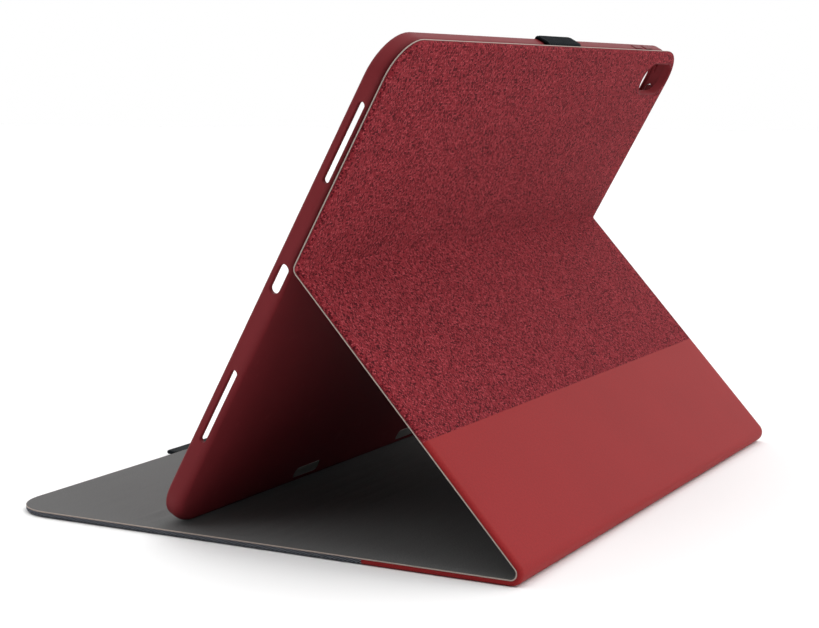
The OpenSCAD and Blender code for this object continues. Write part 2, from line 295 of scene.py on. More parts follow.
class Layout:
    """Places that the frame gives: the tray's faces, the line of the cover and its folds."""

    def __init__(self, layers):
        self.width = 2 * span("cover_lining", ACROSS)[1]
        self.read_tray()
        self.read_cover(layers)

    def read_tray(self):
        """Directions, sizes and outer back face of the tray."""
        self.up = -Vector(JOINTS["volume_up_press"]["axis"])
        self.up.normalize()
        self.out = ACROSS.cross(self.up)
        self.slope = math.atan2(self.up.z, self.up.y)
        low, self.tray_top = span("shell_tray", self.up)
        back, front = span("shell_tray", self.out)
        self.tray_w = 2 * span("shell_tray", ACROSS)[1]
        self.tray_h, self.tray_t = self.tray_top - low, front - back
        self.tray = Place(self.up * low + self.out * back, self.up, self.out)
        self.panel_out = span("panel_skin", self.out)[0] - back

    def read_cover(self, layers):
        """Line of the outer face, from the cover's free edge to the panel's top."""
        self.bend, self.fold, self.crease = (
            np.array(JOINTS[joint]["pos_m"][1:])
            for joint in ("spine_fold", "flap_fold", "crease_fold"))
        radius = self.bend[1]
        away = self.crease - self.bend
        flap_run = math.sqrt(away @ away - radius**2)
        self.flap_turn = math.atan2(away[1], away[0]) + math.atan2(radius, flap_run)
        flap_way = np.array([math.cos(self.flap_turn), math.sin(self.flap_turn)])
        flap_in = Track.left(self.flap_turn)
        foot = self.bend - radius * flap_in
        valley = self.flap_turn - self.slope
        trim = layers.crease * math.tan(valley / 2)
        panel_foot = float(self.crease @ np.array([self.up.y, self.up.z]))
        panel_run = span("panel_skin", self.up)[1] - panel_foot
        arc = self.flap_turn * radius
        self.free_edge = span("cover_skin", (0, 1, 0))[0]
        cover_run = self.bend[0] - self.free_edge
        self.cover_t = span("cover_lining", (0, 0, 1))[1]
        self.fold_t = 2 * float((self.fold - foot) @ flap_in)
        self.track = Track(
            (self.free_edge, 0), 0,
            [
                ("line", cover_run, 0),
                ("arc in", self.flap_turn, radius),
                ("line", flap_run - trim, 0),
                ("arc out", -valley, layers.crease),
                ("line", panel_run - trim, 0),
            ],
            thickness=((cover_run, self.cover_t), (cover_run + arc, self.fold_t)),
        )
        flap_s = cover_run + arc
        spine_w = float((self.fold - foot) @ flap_way)
        crease_s = (self.track.ends[3] + self.track.ends[4]) / 2
        seam = span("flap_band", (0, *flap_way))[1]
        self.spine_mid_s = flap_s + spine_w / 2
        self.flap_mid_s = flap_s + flap_run / 2
        self.weave_s = flap_s + seam - float(foot @ flap_way)
        self.band_s = cover_run - (self.bend[0] - span("cover_band", (0, 1, 0))[0])
        self.marks = (cover_run, flap_s, flap_s + spine_w, crease_s)

    def rows(self, s0, s1):
        return self.track.stations(s0, s1, self.marks)

    def chord(self, middle, way, half):
        """Two points, half before and half after the middle, along a heading in the YZ plane."""
        heading = Vector((0, math.cos(way), math.sin(way)))
        middle = Vector((0, *middle))
        return middle - heading * half, middle + heading * half

    def face_of(self, node, up, out, across):
        """Place on a node's face that looks against out, with the node's length and width."""
        low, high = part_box(node)
        middle = (low + high) / 2
        middle = middle + out * (span(node, out)[0] - middle.dot(out))
        long, wide = (b - a for a, b in (span(node, across), span(node, up)))
        return Place(middle, up, out, across), long, wide

    def pad(self, node):
        """Outer face of a button pad; h runs into the wall."""
        if node == "power_button":
            return self.face_of(node, self.out, ACROSS, self.up)
        return self.face_of(node, self.out, -self.up, ACROSS)

    def magnet(self, node):
        """Outer face of a dock magnet in the tray's back, and how deep the magnet goes."""
        low, high = span(node, self.out)
        return *self.face_of(node, self.up, self.out, ACROSS), high - low


# ---------- meshes ----------


def quarter(steps):
    return [QUARTER * i / steps for i in range(steps + 1)]


def rounded(inset, height, steps=8, low=0.0):
    """Quarter ellipse from (inset, low) on a face to (0, low + height) on its edge."""
    return [(inset * (1 - math.sin(t)), low + height * (1 - math.cos(t)))
            for t in quarter(steps)]


def far_side(profile, thickness):
    """The same rounding on the far side of a leaf, from its edge on."""
    return [(inset, thickness - height) for inset, height in reversed(profile)]


def leaf(name, place, width, s0, s1, profile, radius=0.0, free=(False, False), rows=(),
         columns=40, ring=False, pale=(), middle=0.0):
    """Closed leaf of material between two faces.

    The profile lists (inset, height) or (inset, height, share of the thickness) from the first
    face, round the edge, to the last face. A free end has round corners and the same edge, and
    the other ends are cut square. With ring set the two faces are left out and the profile
    closes on itself.
    """
    profile = [(*p, 0.0)[:3] for p in profile]
    turns = quarter(10 if radius > 5 * MM else 8)
    close = 0.01 * MM

    def outline(inset):
        found = []
        if free[0]:
            for t in reversed(turns):
                found.append((s0 + radius - (radius - inset) * math.sin(t),
                              width / 2 - radius + (radius - inset) * math.cos(t),
                              math.cos(t), -math.sin(t)))
        else:
            found.append((s0, width / 2 - inset, 1, 0))
        trim = [radius if end else 0 for end in free]
        found += [(s, width / 2 - inset, 1, 0) for s in rows
                  if s0 + trim[0] + close < s < s1 - trim[1] - close]
        if free[1]:
            for t in turns:
                found.append((s1 - radius + (radius - inset) * math.sin(t),
                              width / 2 - radius + (radius - inset) * math.cos(t),
                              math.cos(t), math.sin(t)))
        else:
            found.append((s1, width / 2 - inset, 1, 0))
        return found

    vertices, flat, faces, edge_faces = [], [], [], []

    def add(x, s, height, share, u, v):
        h = height + share * place.thickness(s)
        vertices.append(place.point(x + middle, s, h))
        flat.append((u, v))
        return len(vertices) - 1

    outlines = [outline(inset) for inset, _, _ in profile]
    last_row = len(outlines[0]) - 1
    spread = [2 * j / columns - 1 for j in range(columns + 1)]

    def face_grid(i):
        _, height, share = profile[i]
        return [[add(u * w, s, height, share, u * w, s) for u in spread]
                for s, w, _, _ in outlines[i]]

    left = [(k, 0) for k in range(last_row + 1)]
    right = [(k, columns) for k in range(last_row, -1, -1)]
    top = [(last_row, j) for j in range(1, columns)]
    bottom = [(0, j) for j in range(columns - 1, 0, -1)]
    if free == (True, True):
        rims = [(left + top + right + bottom, True)]
    elif free[1]:
        rims = [(left + top + right, False)]
    elif free[0]:
        rims = [(right + bottom + left, False)]
    else:
        rims = [(left, False), (right, False)]

    runs = [0.0]
    for a, b in zip(profile, profile[1:]):
        runs.append(runs[-1] + math.hypot(b[0] - a[0], b[1] - a[1]))

    def rim_ring(rim, i):
        _, height, share = profile[i]
        found = []
        for k, j in rim:
            s, w, nx, ns = outlines[i][k]
            s_first, w_first, _, _ = outlines[0][k]
            if 0 < j < columns:
                nx, ns = 0, ns / abs(ns)
            side = spread[j]
            found.append(add(side * w, s, height, share,
                             side * w_first + math.copysign(nx, side) * runs[i],
                             s_first + ns * runs[i]))
        return found

    if ring:
        chains = [[rim_ring(rim, i) for i in range(len(profile))] for rim, _ in rims]
        chains = [chain + [chain[0]] for chain in chains]
    else:
        first, last = face_grid(0), face_grid(len(profile) - 1)
        for k in range(last_row):
            for j in range(columns):
                faces.append((first[k][j], first[k][j + 1], first[k + 1][j + 1], first[k + 1][j]))
                faces.append((last[k][j], last[k + 1][j], last[k + 1][j + 1], last[k][j + 1]))
        for end, row in ((0, 0), (1, last_row)):
            if not free[end]:
                for j in range(columns):
                    faces.append((first[row][j], first[row][j + 1],
                                  last[row][j + 1], last[row][j]))
        chains = []
        for rim, _ in rims:
            chains.append([[first[k][j] for k, j in rim]]
                          + [rim_ring(rim, i) for i in range(1, len(profile) - 1)]
                          + [[last[k][j] for k, j in rim]])
    for (rim, closed), chain in zip(rims, chains):
        count = len(rim)
        for i, (a, b) in enumerate(zip(chain, chain[1:])):
            for m in range(count if closed else count - 1):
                n = (m + 1) % count
                if i in pale:
                    edge_faces.append(len(faces))
                faces.append((a[m], a[n], b[n], b[m]))
        if not closed:
            faces.append(tuple(row[0] for row in chain))
            faces.append(tuple(row[-1] for row in chain))

    return mesh_object(name, vertices, flat, faces, edge_faces)


def mesh_object(name, vertices, flat, faces, second=()):
    """Closed mesh whose faces point outwards and whose UV map holds the place on the flat piece.

    The faces in second take the second finish.
    """
    mesh = bpy.data.meshes.new(name)
    mesh.from_pydata(vertices, [], faces)
    uv = mesh.uv_layers.new(name="UVMap")
    for loop in mesh.loops:
        uv.data[loop.index].uv = flat[loop.vertex_index]
    for index in second:
        mesh.polygons[index].material_index = 1
    work = bmesh.new()
    work.from_mesh(mesh)
    bmesh.ops.recalc_face_normals(work, faces=work.faces)
    if work.calc_volume(signed=True) < 0:
        bmesh.ops.reverse_faces(work, faces=work.faces)
    work.to_mesh(mesh)
    work.free()
    obj = bpy.data.objects.new(name, mesh)
    bpy.context.scene.collection.objects.link(obj)
    return obj


def smooth(obj, degrees=32):
    obj.data.shade_smooth()
    obj.data.set_sharp_from_angle(angle=math.radians(degrees))


def applied(obj):
    """Gives obj the mesh that its modifiers make."""
    evaluated = obj.evaluated_get(bpy.context.evaluated_depsgraph_get())
    mesh = bpy.data.meshes.new_from_object(evaluated)
    obj.modifiers.clear()
    obj.data = mesh
    return obj


def cut(obj, cutters):
    """Takes the cutters out of obj."""
    for cutter in cutters:
        modifier = obj.modifiers.new("cut", "BOOLEAN")
        modifier.operation, modifier.solver, modifier.object = "DIFFERENCE", "EXACT", cutter
    applied(obj)
    for cutter in cutters:
        bpy.data.objects.remove(cutter)


def stadium_cutter(place, long, wide, flare, start, depth):
    """Bar with round ends that cuts from outside a face; its rim is rounded by the flare."""
    profile = [(0, -start), (0, depth)]
    if flare:
        profile = [(-flare, -start), *rounded(-flare, flare, 5), (0, depth)]
    return leaf("cutter", place, long, -wide / 2, wide / 2, profile, radius=wide / 2,
                free=(True, True), columns=4)


def repeated(obj, count, spacing, material):
    """Repeats obj count times along spacing with Geometry Nodes and keeps the plain mesh."""
    tree = bpy.data.node_groups.new("Repeat along a line", "GeometryNodeTree")
    sockets = {}
    for name, kind in (("Geometry", "NodeSocketGeometry"), ("Count", "NodeSocketInt"),
                       ("Spacing", "NodeSocketVector"), ("Material", "NodeSocketMaterial")):
        sockets[name] = tree.interface.new_socket(name, in_out="INPUT", socket_type=kind)
    tree.interface.new_socket("Geometry", in_out="OUTPUT", socket_type="NodeSocketGeometry")
    given, made = tree.nodes.new("NodeGroupInput"), tree.nodes.new("NodeGroupOutput")
    line = tree.nodes.new("GeometryNodeMeshLine")
    place = tree.nodes.new("GeometryNodeInstanceOnPoints")
    real = tree.nodes.new("GeometryNodeRealizeInstances")
    paint = tree.nodes.new("GeometryNodeSetMaterial")
    join = tree.links.new
    join(given.outputs["Count"], line.inputs["Count"])
    join(given.outputs["Spacing"], line.inputs["Offset"])
    join(line.outputs["Mesh"], place.inputs["Points"])
    join(given.outputs["Geometry"], place.inputs["Instance"])
    join(place.outputs["Instances"], real.inputs["Geometry"])
    join(real.outputs["Geometry"], paint.inputs["Geometry"])
    join(given.outputs["Material"], paint.inputs["Material"])
    join(paint.outputs["Geometry"], made.inputs["Geometry"])
    modifier = obj.modifiers.new("repeat", "NODES")
    modifier.node_group = tree
    modifier[sockets["Count"].identifier] = count
    modifier[sockets["Spacing"].identifier] = spacing
    modifier[sockets["Material"].identifier] = material
    return applied(obj)


# ---------- finishes ----------


class Value:
    """A number on its way through a material; arithmetic on it adds Math nodes."""

    def __init__(self, finish, socket):
        self.finish, self.socket = finish, socket

    def maths(self, operation, *others):
        return self.finish.node("ShaderNodeMath", {"operation": operation},
                                dict(enumerate(others)))

    def __add__(self, other):
        return self.maths("ADD", self, other)

    def __sub__(self, other):
        return self.maths("SUBTRACT", self, other)

    def __rsub__(self, other):
        return self.maths("SUBTRACT", other, self)

    def __mul__(self, other):
        return self.maths("MULTIPLY", self, other)

    def __mod__(self, other):
        return self.maths("FLOORED_MODULO", self, other)

    __radd__, __rmul__ = __add__, __mul__

    def floor(self):
        return self.maths("FLOOR", self)

    def wave(self):
        """Distance from the nearest whole number, smoothed, from 0 on it to 1 between two."""
        return 0.5 - 0.5 * self.maths("COSINE", self * (2 * math.pi))


class Nodes:
    """A node tree whose nodes are made one by one round its surface shader."""

    def __init__(self, tree, surface):
        self.tree, self.surface = tree, tree.nodes[surface]

    def node(self, kind, settings=None, inputs=None, output=0):
        made = self.tree.nodes.new(kind)
        for key, value in (settings or {}).items():
            setattr(made, key, value)
        for key, value in (inputs or {}).items():
            self.put(made.inputs[key], value)
        return Value(self, made.outputs[output])

    def put(self, socket, value):
        if isinstance(value, Value):
            self.tree.links.new(value.socket, socket)
        elif socket.type == "RGBA":
            socket.default_value = (*value[:3], 1)
        else:
            socket.default_value = value

    def feed(self, **values):
        for name, value in values.items():
            socket = name.replace("_", " ").title().replace("Ior", "IOR")
            self.put(self.surface.inputs[socket], value)

    def parts(self, vector):
        split = self.node("ShaderNodeSeparateXYZ", inputs={0: vector})
        outputs = split.socket.node.outputs
        return [Value(self, outputs[i]) for i in range(3)]

    def ramp(self, value, low, high):
        """0 below low, 1 above high, smooth between."""
        return self.node("ShaderNodeMapRange", {"interpolation_type": "SMOOTHSTEP"},
                         {"Value": value, "From Min": low, "From Max": high})


class Finish(Nodes):
    """A material and its nodes."""

    def __init__(self, name, **settings):
        self.material = bpy.data.materials.new(name)
        self.material.use_nodes = True
        super().__init__(self.material.node_tree, "Principled BSDF")
        self.feed(**settings)

    def cloth(self):
        """Place on the flat cloth, in metres."""
        return self.node("ShaderNodeUVMap", {"uv_map": "UVMap"})

    def solid(self):
        return self.node("ShaderNodeTexCoord", output="Object")

    def vector(self, x, y, z=0.0):
        return self.node("ShaderNodeCombineXYZ", inputs={0: x, 1: y, 2: z})

    def noise(self, vector, scale, detail):
        """Smooth noise with scale lumps to the metre."""
        return self.node("ShaderNodeTexNoise", inputs={
            "Vector": vector, "Scale": scale, "Detail": detail})

    def chance(self, vector):
        return self.node("ShaderNodeTexWhiteNoise", {"noise_dimensions": "2D"}, {"Vector": vector})

    def mix(self, factor, first, second):
        return self.node("ShaderNodeMix", {"data_type": "RGBA"},
                         {0: factor, 6: first, 7: second}, output=2)

    def shaded(self, colour_value, factor):
        """Colour times a number."""
        return self.node("ShaderNodeVectorMath", {"operation": "SCALE"},
                         {0: colour_value, "Scale": factor})

    def bump(self, height, distance, strength=1.0):
        normal = self.node("ShaderNodeBump", inputs={
            "Height": height, "Distance": distance, "Strength": strength})
        self.feed(normal=normal)


def times(rgb, factor):
    return tuple(channel * factor for channel in rgb)


def woven(name, main, light, dark, yarn, light_share, dark_share, order):
    """Plain weave of heathered yarns, with painted shade between the yarns; order is how much the
    weave shows over the heather.
    """
    f = Finish(name, roughness=0.86, sheen_weight=0.02, sheen_roughness=0.45,
               specular_ior_level=0.05)
    u, v, _ = f.parts(f.cloth())
    bend = f.noise(f.cloth(), 260, 1) * 0.2
    across, along = u * (1 / yarn) + bend, v * (1 / yarn) + bend
    warp_yarn, weft_yarn = across.floor(), along.floor()
    over = (warp_yarn + weft_yarn) % 2
    warp = f.noise(f.vector(warp_yarn * 7.31, v * 900), 1, 1)
    weft = f.noise(f.vector(u * 900, weft_yarn * 5.17), 1, 1)
    strand = over * warp + (1 - over) * weft
    cell = f.chance(f.vector(warp_yarn, weft_yarn))
    cloud = f.noise(f.cloth(), 1150, 2)
    tone = (strand * 0.42 + cell * 0.42 + cloud * 0.16) * (1 - order) + over * order
    colour_value = f.mix(f.ramp(tone, 1 - light_share, 1.04 - light_share * 0.5), main, light)
    colour_value = f.mix(f.ramp(tone, dark_share, dark_share - 0.14), colour_value, dark)
    # painted shade and light: the yarn colour is darker in the gaps between the yarns and lighter
    # on their crowns; the crown height also drives the bump
    crown_and_painted_shade = (across.wave() * (1 - over * 0.35)) * (along.wave() * (0.65 + over * 0.35))
    colour_value = f.shaded(colour_value, 0.66 + crown_and_painted_shade * 0.62)
    broad = f.noise(f.cloth(), 38, 3)
    f.feed(base_color=f.shaded(colour_value, 0.9 + broad * 0.2),
           roughness=0.8 + cell * 0.14)
    f.bump(crown_and_painted_shade + cell * 0.4, 0.16 * MM, 0.75)
    return f.material


def smooth_coat(name, main):
    """Soft coated sheet with a fine pebbled grain."""
    f = Finish(name, roughness=0.5, specular_ior_level=0.06)
    at = f.cloth()
    pebble = f.node("ShaderNodeTexVoronoi", {"feature": "SMOOTH_F1"},
                    {"Vector": at, "Scale": 1500, "Smoothness": 0.6})
    broad = f.noise(at, 30, 3)
    fine = f.noise(at, 1100, 2)
    colour_value = f.mix(f.ramp(fine, 0.3, 0.75), times(main, 0.93), times(main, 1.05))
    f.feed(base_color=f.shaded(colour_value, 0.93 + broad * 0.14),
           roughness=0.46 + fine * 0.12)
    f.bump(pebble + broad * 0.8, 0.05 * MM, 0.55)
    return f.material


def brushed(name, main, light):
    """Short-napped lining with faint brushed streaks across the cover."""
    f = Finish(name, roughness=0.92, sheen_weight=0.1, sheen_roughness=0.5,
               specular_ior_level=0.08)
    at = f.cloth()
    u, v, _ = f.parts(at)
    nap = f.noise(at, 1900, 2)
    streak = f.noise(f.vector(u * 30, v * 420), 1, 3)
    broad = f.noise(at, 22, 2)
    colour_value = f.mix(f.ramp(nap, 0.35, 0.7), times(main, 0.82), light)
    f.feed(base_color=f.shaded(colour_value, 0.86 + streak * 0.16 + broad * 0.12),
           roughness=0.88 + nap * 0.1)
    f.bump(nap + streak * 0.4, 0.07 * MM, 0.6)
    return f.material


def cut_cloth(name, main):
    """Raw cut edge with short fibres."""
    f = Finish(name, roughness=0.9, specular_ior_level=0.2)
    at = f.solid()
    fibre = f.noise(at, 2600, 2)
    f.feed(base_color=f.mix(fibre, times(main, 0.75), times(main, 1.2)))
    f.bump(fibre, 0.08 * MM, 0.6)
    return f.material


def moulded(name, main, rough):
    """Matt flexible moulding with a spark-eroded texture."""
    f = Finish(name, roughness=rough, specular_ior_level=0.1)
    at = f.solid()
    grain = f.noise(at, 2400, 2)
    cloud = f.noise(at, 45, 3)
    rub = f.ramp(f.noise(at, 130, 4), 0.62, 0.8)
    colour_value = f.mix(cloud, times(main, 0.9), times(main, 1.12))
    f.feed(base_color=f.mix(rub * 0.35, colour_value, times(main, 1.3)),
           roughness=rough - 0.04 + cloud * 0.1 - rub * 0.06)
    f.bump(grain, 0.03 * MM, 0.5)
    return f.material


def webbing(name, main, pitch):
    """Close-woven elastic strap, with painted shade between its ribs."""
    f = Finish(name, roughness=0.8, sheen_weight=0.02, specular_ior_level=0.08)
    u, v, _ = f.parts(f.cloth())
    rib = (u * (1 / pitch)).wave()
    pick = (v * (1.6 / pitch) + (u * (1 / pitch)).floor() * 0.5).wave()
    fuzz = f.noise(f.cloth(), 1500, 2)
    # painted shade and light: the strap colour is darker in the dips between ribs and picks and
    # lighter on their tops; the same relief drives the bump
    colour_value = f.mix(rib * pick, times(main, 0.6), times(main, 2.2))
    f.feed(base_color=f.shaded(colour_value, 0.8 + fuzz * 0.4), roughness=0.74 + fuzz * 0.2)
    f.bump(rib * 0.6 + pick * 0.4, 0.12 * MM, 0.7)
    return f.material


def fibre_board(name, main):
    """Pressed grey-brown board."""
    f = Finish(name, roughness=0.85, specular_ior_level=0.2)
    at = f.solid()
    x, y, z = f.parts(at)
    fibre = f.noise(f.vector(x * 300, y * 900, z * 900), 1, 4)
    fleck = f.ramp(f.noise(at, 800, 2), 0.6, 0.72)
    colour_value = f.mix(fibre, times(main, 0.75), times(main, 1.15))
    f.feed(base_color=f.mix(fleck * 0.4, colour_value, times(main, 0.5)))
    f.bump(fibre, 0.06 * MM, 0.5)
    return f.material


def plated(name, main):
    """Dull nickel plating with fine scratches."""
    f = Finish(name, metallic=0.35, roughness=0.5)
    x, y, z = f.parts(f.solid())
    scratch = f.noise(f.vector(x * 90, y * 2600, z * 2600), 1, 3)
    cloud = f.noise(f.solid(), 160, 3)
    f.feed(base_color=f.mix(cloud, times(main, 0.85), times(main, 1.15)),
           roughness=0.36 + scratch * 0.2)
    f.bump(scratch, 0.01 * MM, 0.4)
    return f.material


def film(name, main):
    """Cloudy adhesive film."""
    f = Finish(name, roughness=0.4)
    cloud = f.noise(f.solid(), 210, 4)
    f.feed(base_color=f.mix(cloud, times(main, 0.8), times(main, 1.15)),
           roughness=0.3 + cloud * 0.25)
    f.bump(cloud, 0.03 * MM, 0.4)
    return f.material


def finishes(colours):
    """The materials of this scene, each made once."""
    if not FINISHES:
        c = colours
        FINISHES.update(
            weave=woven("burgundy weave", c.weave, c.weave_light, c.weave_dark,
                        yarn=0.66 * MM, light_share=0.47, dark_share=0.47, order=0.04),
            cover=woven("navy weave", c.cover, c.cover_light, times(c.cover, 0.5),
                        yarn=0.95 * MM, light_share=0.60, dark_share=0.45, order=0.5),
            band=smooth_coat("smooth red coat", c.band),
            lining=brushed("grey lining", c.lining, times(c.lining, 1.18)),
            cut=cut_cloth("lining cut edge", c.cut_edge),
            tray=moulded("moulded dark red", c.tray, rough=0.56),
            pads=moulded("button red", times(c.tray, 0.8), rough=0.5),
            strap=webbing("dark elastic", c.strap, pitch=0.9 * MM),
            board=fibre_board("fibre board", c.board),
            metal=plated("magnet plating", c.metal),
            film=film("adhesive film", c.adhesive),
        )
    return FINISHES


def dress(obj, *materials):
    """Puts the finishes on a piece in slot order; its faces keep their slots."""
    mesh = obj.data
    slots = [face.material_index for face in mesh.polygons]
    mesh.materials.clear()
    for material in materials:
        mesh.materials.append(material)
    mesh.polygons.foreach_set("material_index", slots)
    return obj


# ---------- operators ----------


class CaseBuild:
    """What the build operators share."""

    bl_options = {"REGISTER"}

    def prepare(self, context):
        self.layers = context.scene.case_layers
        self.sizes = context.scene.case_tray
        self.look = finishes(context.scene.case_colours)
        self.at = Layout(self.layers)

    def skin_profile(self):
        """Outer face, soft shoulder, turned-up hem and inner face of an outer layer."""
        k, roll = self.layers, self.layers.hem_roll
        rolled = [(inset, height, 1) for inset, height
                  in far_side(rounded(roll, roll, 4), -k.lining)]
        return [*rounded(k.shoulder_in, k.shoulder_up), *rolled, (k.hem, -k.lining, 1),
                (k.hem, k.skin)]

    def lining_profile(self):
        """Upper face, pale cut edge and lower face of the lining."""
        k, nick = self.layers, 0.12 * MM
        inset, face = k.lining_inset, k.lining_inset + k.cut_edge
        return [(face, 0, 1), (inset + nick, 0, 1), (inset, -nick, 1),
                (inset, nick - k.lining, 1), (inset + nick, -k.lining, 1),
                (face, -k.lining, 1)]

    def sheet(self, name, s0, s1, profile, radius=0.0, free=(False, False), pale=()):
        return leaf(name, self.at.track, self.at.width, s0, s1, profile, radius, free,
                    self.at.rows(s0, s1), pale=pale)

    def over_bend(self):
        return self.at.chord(self.at.bend, self.at.flap_turn / 2, 5 * MM)

    def over_fold(self):
        return self.at.chord(self.at.fold, self.at.flap_turn, 3 * MM)

    def over_crease(self):
        way = (self.at.flap_turn + self.at.slope) / 2
        return self.at.chord(self.at.crease, way, 4 * MM)

    def camera_hole(self):
        """Cutter for the camera opening through the panel's layers and the tray's back."""
        k, tray = self.sizes, self.at.tray
        middle = tray.point(k.camera_across, k.camera_up, self.at.panel_out)
        return stadium_cutter(Place(middle, tray.up, tray.out), k.camera_length,
                              k.camera_width, flare=0.0, start=2 * MM, depth=8 * MM)


class CASE_OT_woven_back(CaseBuild, Operator):
    """Woven outer layer of the back panel, the crease and the upper flap"""

    bl_idname = "tablet_case.woven_back"
    bl_label = "Woven back"

    def execute(self, context):
        self.prepare(context)
        at, k = self.at, self.layers
        end = at.track.length
        piece = self.sheet("woven_back", at.weave_s + k.seam / 2, end, self.skin_profile(),
                           k.panel_corner, (False, True))
        cut(piece, [self.camera_hole()])
        smooth(piece)
        dress(piece, self.look["weave"])
        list(self.over_crease())
        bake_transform(piece)
        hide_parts("panel_skin", "flap_skin", "crease_hinge")
        wrap = 2 * (at.fold_t + k.hem)
        end - at.weave_s + wrap / 2
        return {"FINISHED"}


class CASE_OT_smooth_bands(CaseBuild, Operator):
    """Smooth band round the lower flap, the spine and the foot of the cover"""

    bl_idname = "tablet_case.smooth_bands"
    bl_label = "Smooth bands"

    def execute(self, context):
        self.prepare(context)
        at, k = self.at, self.layers
        flap = self.sheet("smooth_band_flap", at.spine_mid_s, at.weave_s - k.seam / 2,
                          self.skin_profile())
        cover = self.sheet("smooth_band_spine", at.band_s + k.seam / 2, at.spine_mid_s,
                           self.skin_profile())
        for piece in (flap, cover):
            smooth(piece)
            dress(piece, self.look["band"])
        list(self.over_fold())
        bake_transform(flap)
        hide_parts("flap_band", "flap_hinge")
        at.weave_s - at.spine_mid_s
        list(self.over_bend())
        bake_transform(cover)
        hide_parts("spine_band", "bend_hinge", "cover_band")
        at.spine_mid_s - at.band_s
        return {"FINISHED"}


class CASE_OT_cover_weave(CaseBuild, Operator):
    """Dark woven outer layer of the front cover"""

    bl_idname = "tablet_case.cover_weave"
    bl_label = "Cover weave"

    def execute(self, context):
        self.prepare(context)
        at, k = self.at, self.layers
        piece = self.sheet("cover_weave", 0, at.band_s - k.seam / 2, self.skin_profile(),
                           k.cover_corner, (True, False))
        smooth(piece)
        dress(piece, self.look["cover"])
        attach(piece, "front_cover")
        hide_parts("cover_skin")
        wrap = 2 * (at.cover_t + k.hem)
        at.band_s + wrap / 2
        return {"FINISHED"}


class CASE_OT_linings(CaseBuild, Operator):
    """Grey lining of the cover, the flap and the panel, with its dock ridges"""

    bl_idname = "tablet_case.linings"
    bl_label = "Linings"

    def execute(self, context):
        self.prepare(context)
        at, k = self.at, self.layers
        end = at.track.length
        profile = self.lining_profile()
        pieces = []
        for name, s0, s1, radius, free in (
                ("lining_cover", 0, at.spine_mid_s, k.cover_corner, (True, False)),
                ("lining_lower_flap", at.spine_mid_s, at.flap_mid_s, 0, (False, False)),
                ("lining_upper_flap", at.flap_mid_s, end, k.panel_corner, (False, True))):
            piece = self.sheet(name, s0, s1, profile, radius, free,
                               pale=range(len(profile) - 1))
            dress(piece, self.look["lining"], self.look["cut"])
            pieces.append(piece)
        cover, lower, upper = pieces
        cut(upper, [self.camera_hole()])
        for piece in pieces:
            smooth(piece)
        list(self.over_bend())
        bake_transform(cover)
        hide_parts("cover_lining", "spine_lining")
        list(self.over_fold())
        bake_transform(lower)
        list(self.over_crease())
        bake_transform(upper)
        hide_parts("flap_lining", "panel_lining")
        at.flap_mid_s - at.spine_mid_s
        end - at.flap_mid_s
        self.ridges()
        return {"FINISHED"}

    def ridges(self):
        """Low ridges across the cover, one over each row of dock magnets."""
        at, k = self.at, self.layers
        margin = 6 * MM
        low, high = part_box("dock_magnets_port_side")
        bar = span("shell_magnet_port_side", at.up)
        bar_width = bar[1] - bar[0]
        pitch = (high.y - low.y - bar_width) / (k.dock_rows - 1)
        reach = at.width - 2 * (k.lining_inset + margin)
        ridge = self.soft_bar("dock_ridges", reach, high.y - bar_width / 2)
        repeated(ridge, k.dock_rows, (0, -pitch, 0), self.look["lining"])
        smooth(ridge, 60)
        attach(ridge, "front_cover")

    def soft_bar(self, name, reach, y):
        """Low bar across the cover whose height fades to nothing at its sides and ends."""
        k, base = self.layers, self.at.cover_t
        fade, proud, sunk, columns, lanes = 10 * MM, 0.01 * MM, 0.12 * MM, 40, 12

        def swell(share):
            return 0.5 - 0.5 * math.cos(math.pi * share)

        across = [reach * swell(i / columns) - reach / 2 for i in range(columns + 1)]
        vertices, flat, faces = [], [], []
        for top in (True, False):
            for x in across:
                end = swell(min(1, (reach / 2 - abs(x)) / fade))
                for j in range(lanes + 1):
                    side = 2 * j / lanes - 1
                    d = side * k.ridge_width / 2
                    lift = k.ridge_height * swell(1 - abs(side)) * end
                    z = base + lift + proud if top else base - sunk
                    vertices.append((x, y + d, z))
                    flat.append((x, y + d))
        rows, under = lanes + 1, len(vertices) // 2
        for i in range(columns):
            for a in range(i * rows, i * rows + lanes):
                faces.append((a, a + rows, a + rows + 1, a + 1))
                faces.append((a + under, a + 1 + under, a + rows + 1 + under,
                              a + rows + under))
        rim = [*range(rows), *range(rows + lanes, under, rows),
               *range(under - 2, under - rows - 1, -1), *range(under - 2 * rows, 0, -rows)]
        for a, b in zip(rim, rim[1:] + rim[:1]):
            faces.append((a, b, b + under, a + under))
        return mesh_object(name, vertices, flat, faces)


